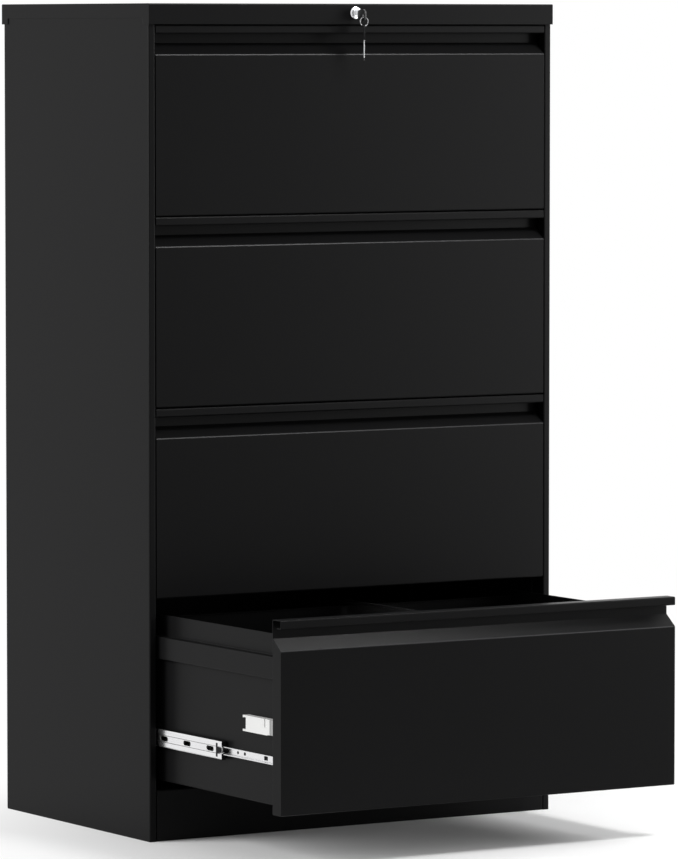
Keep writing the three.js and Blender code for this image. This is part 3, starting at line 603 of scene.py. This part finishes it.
def lockBezel():
    # quarter-ellipse from the flat face to the rim, then the barrel and the bore behind it:
    # radius = flat + (outer - flat) sin t, depth = dome (1 - cos t)
    outer = (lockHigh.x - lockLow.x) / 2 / mm
    swing = np.linspace(0, np.pi / 2, bezel["domeSteps"])
    dome = np.stack([bezel["flat"] + (outer - bezel["flat"]) * np.sin(swing),
                     bezel["dome"] * (1 - np.cos(swing))], -1)
    length = (lockHigh.y - lockLow.y) / mm
    bore, chamfer = bezel["bore"], bezel["boreChamfer"]
    profile = np.concatenate([
        [[bore, length], [bore, chamfer], [bore + chamfer, 0]],
        dome,
        [[outer, bezel["rim"]], [bezel["barrel"], bezel["rim"]], [bezel["barrel"], length]],
    ]) * mm
    profile[:, 1] += lockLow.y
    grid = turned(profile, lockCentre, bezel["sides"])
    piece = gridPiece("lock_bezel", grid, finishes["lock_chrome"], "carcass",
                      closedRows=True, sharp=bezel["crispFrom"])
    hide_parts("lock_housing")


lockBezel()
print("lock bezel made")


ring = {
    "radius": 7.1,
    "wire": 0.8,
    "turns": 1.9,
    "gap": 0.95,       # from one turn to the next
    "steps": 150,
    "sides": 10,
    "belowHole": 3.1,  # the ring's top under the centre of the key's hole
}
holeCentre = Vector((0, keyLow.y + keyPlan["holeBehind"], keyLow.z + keyPlan["holeUp"]))
ringCentre = holeCentre - Vector((0, 0, (ring["belowHole"] + ring["radius"]) * mm))


def splitRing():
    # helix of nearly two turns about the Y axis, its turns side by side:
    # x = radius sin t, y = gap (t / 2 pi - turns / 2), z = radius cos t
    turn = np.linspace(0, ring["turns"] * 2 * np.pi, ring["steps"])
    lean = ring["gap"] * (turn / (2 * np.pi) - ring["turns"] / 2)
    path = np.stack([ring["radius"] * np.sin(turn), lean, ring["radius"] * np.cos(turn)], -1)
    path = path * mm + np.array(ringCentre)
    gridPiece("key_ring", tubeAlong(path, ring["wire"] / 2 * mm, ring["sides"]), keySteel,
              "carcass")


spare = {
    "length": 25.0,
    "width": 19.0,
    "gauge": 2.6,
    "holeRadius": 3.4,
    "holeDrop": 5.0,
    "squareness": 0.625,    # exponent of the head's rounded outline
    "round": 0.5,
    "midRound": 0.3,        # share of the rounding at its middle row
    "sides": 96,
    "turn": -31.5,          # degrees about the vertical
    "clearance": 0.35,
    "bladeTuck": 1.0,       # of the blade, up inside the head
    "bladeLength": 32.5,
    "bladeWidth": 6.8,
    "bladeGauge": 1.8,
    "bladeBevel": 0.2,
    "bladeSteps": 121,
    "tipShare": 0.04,       # of the width, left at the point
    "cutsFrom": 4.0,
    "cutPitch": 3.7,
    "cutDepths": (1.1, 0.6, 1.5, 1.0, 0.6),
}


def hungInPlace(points, top):
    # from (across, thick, up) to the frame: turned about the vertical and hung under the ring
    angle = math.radians(spare["turn"])
    across = np.array([math.sin(-angle), math.cos(angle), 0.0])
    normal = np.array([math.cos(angle), math.sin(angle), 0.0])
    up = np.array([0.0, 0.0, 1.0])
    placed = (points[..., :1] * across + points[..., 1:2] * normal + points[..., 2:] * up) * mm
    return placed + top


def spareHead(top):
    # rows run over the rim, in across the face to the hole and back; columns go round
    outline = roundedOutline(spare["width"], spare["length"], spare["squareness"],
                             spare["sides"]) - [0, spare["length"] / 2]
    hole = roundedOutline(2 * spare["holeRadius"], 2 * spare["holeRadius"], 1,
                          spare["sides"]) - [0, spare["holeDrop"]]
    half = spare["gauge"] / 2
    edge = spare["round"]
    mid = spare["midRound"] * edge
    inward = (hole - outline) / np.linalg.norm(hole - outline, axis=1, keepdims=True)
    rows = [(outline, half - edge), (outline + mid * inward, half - mid),
            (outline + edge * inward, half), (hole - edge * inward, half),
            (hole - mid * inward, half - mid), (hole, half - edge)]
    rows += [(flat, -thick) for flat, thick in rows[::-1]]
    grid = np.stack([np.stack([flat[:, 0], np.full(len(flat), thick), flat[:, 1]], -1)
                     for flat, thick in rows])
    gridPiece("spare_key_head", hungInPlace(grid, top), finishes["black_plastic"],
              "carcass", closedRows=True)


def spareBlade(top):
    # flat bar with a pointed tip; its cut edge runs straight from crest to valley to crest
    down = np.linspace(0, spare["bladeLength"], spare["bladeSteps"])
    depths = np.zeros(2 * len(spare["cutDepths"]) + 1)
    depths[1::2] = spare["cutDepths"]
    stations = spare["cutsFrom"] + spare["cutPitch"] / 2 * np.arange(depths.size)
    notch = np.interp(down, stations, depths)
    side = spare["bladeWidth"] / 2
    taper = np.clip((spare["bladeLength"] - down) / side, spare["tipShare"], 1)
    left, right = -side * taper, (side - notch) * taper
    half = spare["bladeGauge"] / 2
    bevel = spare["bladeBevel"]
    section = [(0, half - bevel, 0), (0, half, bevel), (1, half, -bevel), (1, half - bevel, 0),
               (1, bevel - half, 0), (1, -half, -bevel), (0, -half, bevel), (0, bevel - half, 0)]
    grid = np.stack([np.stack([(right if cut else left) + shift * taper,
                               np.full(down.size, thick), -down], -1)
                     for cut, thick, shift in section], 1)
    gridPiece("spare_key_blade", hungInPlace(grid, top), keySteel, "carcass")


def hangSpare():
    # the head's hole rests on the ring's lowest point, the clearance apart
    hangHeight = (ringCentre.z / mm - ring["radius"] + ring["wire"] / 2 + spare["clearance"]
                  - spare["holeRadius"] + spare["holeDrop"])
    top = np.array([ringCentre.x, ringCentre.y, hangHeight * mm])
    spareHead(top)
    spareBlade(top - np.array([0, 0, (spare["length"] - spare["bladeTuck"]) * mm]))


splitRing()
hangSpare()
print("ring and spare key made")


def slideMember(tier, side, member):
    # in millimetres: its front end, middle height, inner face and outer face; then the way
    # outward, -1 on the left and 1 on the right
    low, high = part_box(f"drawer_{tier}_{side}_{member}_slide")
    inner, outer = (high.x, low.x) if side == "left" else (low.x, high.x)
    outward = -1 if side == "left" else 1
    return low.y / mm, (low.z + high.z) / 2 / mm, inner / mm, outer / mm, outward


stop = {
    "behindFront": 14.6,
    "width": 5.0,
    "height": 21.6,
    "thickness": 0.9,
    "proud": 0.25,
    "noseHeight": 9.3,
    "noseReach": 11.2,
    "shoulder": 1.6,      # height over which the nose rounds off, above and below
    "bevel": 0.2,
    "steps": 109,
    "crispFrom": 30,      # degrees
}


def slideStop(tier, side):
    # flat bar across the slide: its front edge swells into a nose about the middle, by
    # reach sqrt(1 - u^2) with u from 0 to 1 across the shoulder; its bevelled section is
    # carried up its height
    start, centre, _, web, outward = slideMember(tier, side, "middle")
    face = web + outward * stop["proud"]
    up = np.linspace(-0.5, 0.5, stop["steps"]) * stop["height"]
    past = np.abs(up) - stop["noseHeight"] / 2 + stop["shoulder"]
    swell = np.sqrt(1 - np.clip(past / stop["shoulder"], 0, 1) ** 2) * stop["noseReach"]
    middle = start + stop["behindFront"]
    front = middle - stop["width"] / 2 - swell
    back = np.full(up.size, middle + stop["width"] / 2)
    bevel = stop["bevel"]
    inner = face - outward * stop["thickness"]
    outer = [(front, bevel, face), (front, 0, face - outward * bevel), (front, 0, inner),
             (back, 0, inner), (back, 0, face - outward * bevel), (back, -bevel, face)]
    grid = np.stack([np.stack([np.full(up.size, x), edge + shift, centre + up], -1)
                     for edge, shift, x in outer], 1)
    gridPiece(f"drawer_{tier}_{side}_slide_stop", grid * mm, matPlastic,
              f"middle_slides_{tier}", sharp=stop["crispFrom"])


retainer = {
    "width": 6.2,
    "inner": 6.9,         # from the slide's centre line
    "outer": 13.2,
    "behindFace": 1.3,    # in from the web's outer face
    "behindFront": 0.04,
    "squareness": 0.3,    # exponent of the rounded outline
    "sides": 40,
    # share of the outline, depth behind the front
    "dish": ((1.0, 0.22), (1.0, 0.06), (0.94, 0.0), (0.7, 0.0), (0.5, 0.09), (0.2, 0.12)),
}


def ballRetainer(tier, side, where):
    # end plate of the ball cage in the channel's mouth: rounded rectangle with a dished face
    start, centre, _, web, outward = slideMember(tier, side, "middle")
    centreX = web - outward * (retainer["behindFace"] + retainer["width"] / 2)
    sign = 1 if where == "upper" else -1
    centreZ = centre + sign * (retainer["inner"] + retainer["outer"]) / 2
    outline = roundedOutline(retainer["width"], retainer["outer"] - retainer["inner"],
                             retainer["squareness"], retainer["sides"])
    front = start + retainer["behindFront"]
    grid = np.stack([np.stack([centreX + outline[:, 0] * share,
                               np.full(len(outline), front + depth),
                               centreZ + outline[:, 1] * share], -1)
                     for share, depth in retainer["dish"]])
    gridPiece(f"drawer_{tier}_{side}_ball_cage_{where}", grid * mm, finishes["black_plastic"],
              f"middle_slides_{tier}")


rivet = {
    "behindFront": (101.6, 122.6),
    "radius": (2.7, 2.4),
    "webThickness": 1.2,
    "sides": 24,
    # share of the radius, height over the web
    "dome": ((1.0, 0.02), (1.0, 0.3), (0.8, 0.6), (0.4, 0.75)),
}


def slideRivets(tier, side):
    # low dome over each of the inner member's two small holes: turned about Y, then X and Y
    # are exchanged
    start, centre, back, _, outward = slideMember(tier, side, "inner")
    web = back + outward * rivet["webThickness"]
    for index, (behind, radius) in enumerate(zip(rivet["behindFront"], rivet["radius"])):
        profile = [(radius * share, web + outward * over) for share, over in rivet["dome"]]
        grid = turned(profile, (start + behind, 0, centre), rivet["sides"])[..., [1, 0, 2]]
        gridPiece(f"drawer_{tier}_{side}_rivet_{index + 1}", grid * mm, matPlastic,
                  f"drawer_{tier}")


for tier in drawerNumbers:
    for side in ("left", "right"):
        slideStop(tier, side)
        slideRivets(tier, side)
        ballRetainer(tier, side, "upper")
        ballRetainer(tier, side, "lower")
print("slide stops, rivets and ball cages made")


# metres, degrees and watts from here on
studio = {
    "worldDiffuse": 0.30,
    "floorColour": 0.94,
    "floorRoughness": 0.9,
    "floorDrop": 0.3 * mm,
    "floorGlow": 0.045,      # near the cabinet, so its shadow shows
    "glowCentre": (0.1, -0.25, 0.0),
    "glowFrom": 0.4,         # distances from that centre
    "glowTo": 1.1,
    "floorSize": 60.0,
}


def seenDirectly(tree):
    # 1 for camera, glossy and transmission rays, 0 for the light that falls on things
    path = addNode(tree, "ShaderNodeLightPath", (-6, 3))
    either = mathNode(tree, "ADD", (-5, 3), path.outputs["Is Camera Ray"],
                      path.outputs["Is Glossy Ray"])
    return mathNode(tree, "ADD", (-4, 3), either, path.outputs["Is Transmission Ray"], clamp=True)


def makeWorld():
    world = bpy.data.worlds.new("studio")
    world.use_nodes = True
    tree = world.node_tree
    background = tree.nodes["Background"]
    background.inputs["Color"].default_value = (1, 1, 1, 1)
    spread = mathNode(tree, "MULTIPLY", (-3, 3), seenDirectly(tree), 1 - studio["worldDiffuse"])
    tree.links.new(mathNode(tree, "ADD", (-2, 3), spread, studio["worldDiffuse"]),
                   background.inputs["Strength"])
    bpy.context.scene.world = world


def makeFloor():
    # pale floor: lit as it is near the cabinet, glowing to plain white farther out
    half = studio["floorSize"] / 2
    mesh = bpy.data.meshes.new("floor")
    height = cadLow.z - studio["floorDrop"]
    corners = [(-half, -half, height), (half, -half, height), (half, half, height),
               (-half, half, height)]
    mesh.from_pydata(corners, [], [(0, 1, 2, 3)])
    floor = bpy.data.objects.new("floor", mesh)
    bpy.context.collection.objects.link(floor)
    material, tree, sockets, coords = newMaterial(
        "floor_white", (studio["floorColour"],) * 3, studio["floorRoughness"], specular=0.0)
    distance = addNode(tree, "ShaderNodeVectorMath", (-5, -2),
                       {0: coords, 1: studio["glowCentre"]}, operation="DISTANCE")
    away = addNode(tree, "ShaderNodeMapRange", (-4, -2), {
        "Value": distance.outputs["Value"], "From Min": studio["glowFrom"],
        "From Max": studio["glowTo"], "To Min": studio["floorGlow"], "To Max": 1.0},
        interpolation_type="SMOOTHSTEP")
    lit = mathNode(tree, "SUBTRACT", (-3, -2), 1.0, away.outputs[0])
    tree.links.new(scaledColour(tree, (-2, -2), lit, (studio["floorColour"],) * 3),
                   sockets["Base Color"])
    sockets["Emission Color"].default_value = (1, 1, 1, 1)
    tree.links.new(mathNode(tree, "MULTIPLY", (-2, 2), seenDirectly(tree), away.outputs[0]),
                   sockets["Emission Strength"])
    mesh.materials.append(material)


lamps = {
    # name: centre, aimed at, width, height, watts
    "left": ((-3.3, 0.9, 1.65), (0, 0.1, 0.7), 1.8, 2.2, 118),
    "frontHigh": ((0.95, -1.45, 2.75), (0.0, -0.3, 0.9), 0.9, 0.6, 45),
    "frontRight": ((2.6, -3.0, 1.0), (0.3, -0.3, 0.7), 1.2, 1.8, 12),
    "rightHigh": ((2.9, -0.45, 1.95), (0.2, -0.2, 0.6), 1.4, 1.3, 60),
    "right": ((1.9, -1.6, 0.9), (0.4, -0.4, 0.7), 0.9, 1.6, 14),
    "recess": ((0.75, -0.45, 2.2), (-0.15, -0.75, 0.49), 0.6, 0.5, 18),
}
# lights the open drawer's front alone and throws no shadow, for the glint along its recess
linkedLamps = {"recess": "drawer_4_front"}


def makeLamps():
    for name, (centre, target, width, height, watts) in lamps.items():
        light = bpy.data.lights.new(name, "AREA")
        light.shape = "RECTANGLE"
        light.size, light.size_y = width, height
        light.energy = watts
        lamp = bpy.data.objects.new(name, light)
        lamp.location = centre
        lamp.rotation_euler = (Vector(target) - Vector(centre)).to_track_quat("-Z", "Y").to_euler()
        bpy.context.collection.objects.link(lamp)
        if name in linkedLamps:
            lit = bpy.data.collections.new(name)
            lit.objects.link(frame["nodes"][linkedLamps[name]])
            lamp.light_linking.receiver_collection = lit
            light.cycles.cast_shadow = False
            light.cycles.use_multiple_importance_sampling = False
            light.use_shadow = False


view = {
    "place": (-4.946858, -8.069323, 1.2883),
    "tilt": 90 - 3.912,      # up from straight down
    "turn": -31.527,
    "lens": 244.98,          # millimetres, as is the sensor's width
    "sensor": 36,
    "farthest": 200,
}


def makeCamera():
    lens = bpy.data.cameras.new("camera")
    lens.lens = view["lens"]
    lens.sensor_width = view["sensor"]
    lens.clip_end = view["farthest"]
    camera = bpy.data.objects.new("camera", lens)
    camera.location = view["place"]
    camera.rotation_euler = Euler((math.radians(view["tilt"]), 0, math.radians(view["turn"])))
    bpy.context.collection.objects.link(camera)
    bpy.context.scene.camera = camera


makeWorld()
makeFloor()
makeLamps()
makeCamera()
bpy.context.scene.view_settings.view_transform = "Standard"
print("studio ready")

bpy.context.view_layer.update()
